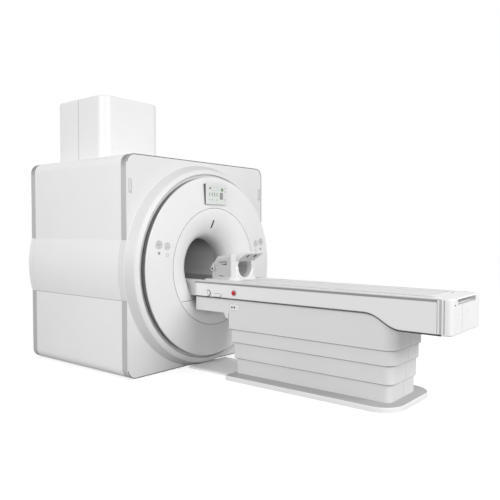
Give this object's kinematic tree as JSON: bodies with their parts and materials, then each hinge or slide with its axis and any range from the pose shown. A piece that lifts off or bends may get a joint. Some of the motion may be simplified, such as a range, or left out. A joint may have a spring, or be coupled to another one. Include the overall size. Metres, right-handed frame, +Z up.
{
  "type": "magnetic resonance scanner",
  "caption": "Closed-bore magnetic resonance scanner with a box magnet housing, round face disc, top turret, and a patient table that lifts and slides, with a hinged head coil.",
  "frame": {"origin": "centre of the bounding box at floor level", "axes": "+Z up; +Y along the bore from the table's end cap to the rear of the magnet; +X to the right when facing the bore from the table"},
  "size_m": [2.182, 4.574, 2.96],
  "materials": {
    "cover_white": "satin",
    "band_grey": "satin",
    "disc_light": "satin",
    "mouth_white": "satin",
    "liner_grey": "matte",
    "screen_pale": "gloss",
    "display_grey": "satin",
    "key_grey": "satin",
    "lens_dark": "gloss",
    "vessel_steel": "brushed",
    "shield_metal": "bright",
    "winding_copper": "satin",
    "resin_tan": "matte",
    "cold_head_metal": "satin",
    "pipe_steel": "satin",
    "foot_steel": "satin",
    "base_white": "painted satin",
    "skirt_white": "satin",
    "column_metal": "anodised",
    "chassis_metal": "painted satin",
    "fairing_white": "satin",
    "trim_dark": "satin",
    "cap_white": "satin",
    "cradle_white": "satin",
    "motor_black": "satin",
    "belt_black": "matte",
    "pulley_metal": "satin",
    "coil_grey": "satin",
    "stop_red": "gloss",
    "control_white": "satin"
  },
  "bodies": {
    "gantry": {"front_cover": "cover_white", "rear_cover": "cover_white", "front_trim": "band_grey", "rear_trim": "band_grey", "upper_cover_left": "cover_white", "upper_cover_right": "cover_white", "lower_cover_left": "cover_white", "lower_cover_right": "cover_white", "face_disc": "disc_light", "bell_mouth": "mouth_white", "bell_mouth_chin": "mouth_white", "laser_window": "lens_dark", "display_housing": "display_grey", "display_screen": "screen_pale", "rear_bell_mouth": "mouth_white", "bore_tube": "liner_grey", "bore_bridge": "liner_grey", "turret_front_cover": "cover_white", "turret_rear_cover": "cover_white", "outer_vessel": "vessel_steel", "thermal_shield": "shield_metal", "helium_vessel": "vessel_steel", "magnet_coils": "winding_copper", "gradient_coil": "resin_tan", "rf_body_coil": "resin_tan", "cold_head": "cold_head_metal", "quench_pipe": "pipe_steel", "magnet_feet": "foot_steel", "base_plate": "base_white", "duct_cover": "base_white", "column_outers": "column_metal", "skirt_4": "skirt_white"},
    "table": {"skirt_1": "skirt_white", "column_inners": "column_metal", "table_chassis": "chassis_metal", "fairing_left": "fairing_white", "fairing_right": "fairing_white", "trim_left": "trim_dark", "trim_right": "trim_dark", "end_cap": "cap_white", "drive_motor": "motor_black", "drive_belt": "belt_black", "socket_panel": "control_white"},
    "skirt_2_stage": {"skirt_2": "skirt_white"},
    "skirt_3_stage": {"skirt_3": "skirt_white"},
    "column_mid_stage": {"column_mids": "column_metal"},
    "near_pulley": {"pulley_near": "pulley_metal"},
    "far_pulley": {"pulley_far": "pulley_metal"},
    "cradle_slide_body": {"cradle": "cradle_white", "belt_clamp": "chassis_metal", "coil_base": "coil_grey"},
    "coil_lid": {"coil_top": "coil_grey", "coil_visor": "coil_grey"},
    "stop_head": {"stop_button": "stop_red"},
    "knob": {"release_knob": "control_white"},
    "latch": {"dock_latch": "control_white"},
    "key_large_left": {"large_key_left": "key_grey"},
    "key_large_right": {"large_key_right": "key_grey"},
    "key_round_left": {"round_key_left": "key_grey"},
    "key_round_right": {"round_key_right": "key_grey"}
  },
  "joints": [
    {"name": "table_lift", "type": "slide", "parent": "gantry", "child": "table", "axis": [0, 0, 1], "range_m": [-0.34, 0]},
    {"name": "skirt_2_lift", "type": "slide", "parent": "gantry", "child": "skirt_2_stage", "axis": [0, 0, 1], "range_m": [-0.227, 0]},
    {"name": "skirt_3_lift", "type": "slide", "parent": "gantry", "child": "skirt_3_stage", "axis": [0, 0, 1], "range_m": [-0.1136, 0]},
    {"name": "column_mid_lift", "type": "slide", "parent": "gantry", "child": "column_mid_stage", "axis": [0, 0, 1], "range_m": [-0.1705, 0]},
    {"name": "cradle_slide", "type": "slide", "parent": "table", "child": "cradle_slide_body", "axis": [0, 1, 0], "range_m": [0, 1.7]},
    {"name": "near_pulley_spin", "type": "hinge", "parent": "table", "child": "near_pulley", "pos_m": [0, 0.149, 0.844], "axis": [-1, 0, 0], "range_deg": [-10, 3790]},
    {"name": "far_pulley_spin", "type": "hinge", "parent": "table", "child": "far_pulley", "pos_m": [0, -1.961, 0.844], "axis": [-1, 0, 0], "range_deg": [-10, 3790]},
    {"name": "coil_lid_hinge", "type": "hinge", "parent": "cradle_slide_body", "child": "coil_lid", "pos_m": [0, 0.294, 1.062], "axis": [1, 0, 0], "range_deg": [-60, 0]},
    {"name": "stop_press", "type": "slide", "parent": "table", "child": "stop_head", "axis": [1, 0, 0], "range_m": [0, 0.006]},
    {"name": "knob_turn", "type": "hinge", "parent": "table", "child": "knob", "pos_m": [-0.335, 0.202, 0.825], "axis": [-1, 0, 0], "range_deg": [0, 90]},
    {"name": "latch_swing", "type": "hinge", "parent": "table", "child": "latch", "pos_m": [-0.335, 0.104, 0.812], "axis": [-1, 0, 0], "range_deg": [0, 40]},
    {"name": "key_large_left_press", "type": "slide", "parent": "gantry", "child": "key_large_left", "axis": [0, 1, 0], "range_m": [0, 0.0015], "stiffness_N_per_m": 600},
    {"name": "key_round_left_press", "type": "slide", "parent": "gantry", "child": "key_round_left", "axis": [0, 1, 0], "range_m": [0, 0.0015], "stiffness_N_per_m": 600},
    {"name": "key_large_right_press", "type": "slide", "parent": "gantry", "child": "key_large_right", "axis": [0, 1, 0], "range_m": [0, 0.0015], "stiffness_N_per_m": 600},
    {"name": "key_round_right_press", "type": "slide", "parent": "gantry", "child": "key_round_right", "axis": [0, 1, 0], "range_m": [0, 0.0015], "stiffness_N_per_m": 600}
  ],
  "couplings": [
    {"joint": "skirt_2_lift", "follows": "table_lift", "ratio": 0.66667},
    {"joint": "skirt_3_lift", "follows": "table_lift", "ratio": 0.33333},
    {"joint": "column_mid_lift", "follows": "table_lift", "ratio": 0.5},
    {"joint": "near_pulley_spin", "follows": "cradle_slide", "rad_per_m": 38.76},
    {"joint": "far_pulley_spin", "follows": "cradle_slide", "rad_per_m": 38.76}
  ]
}
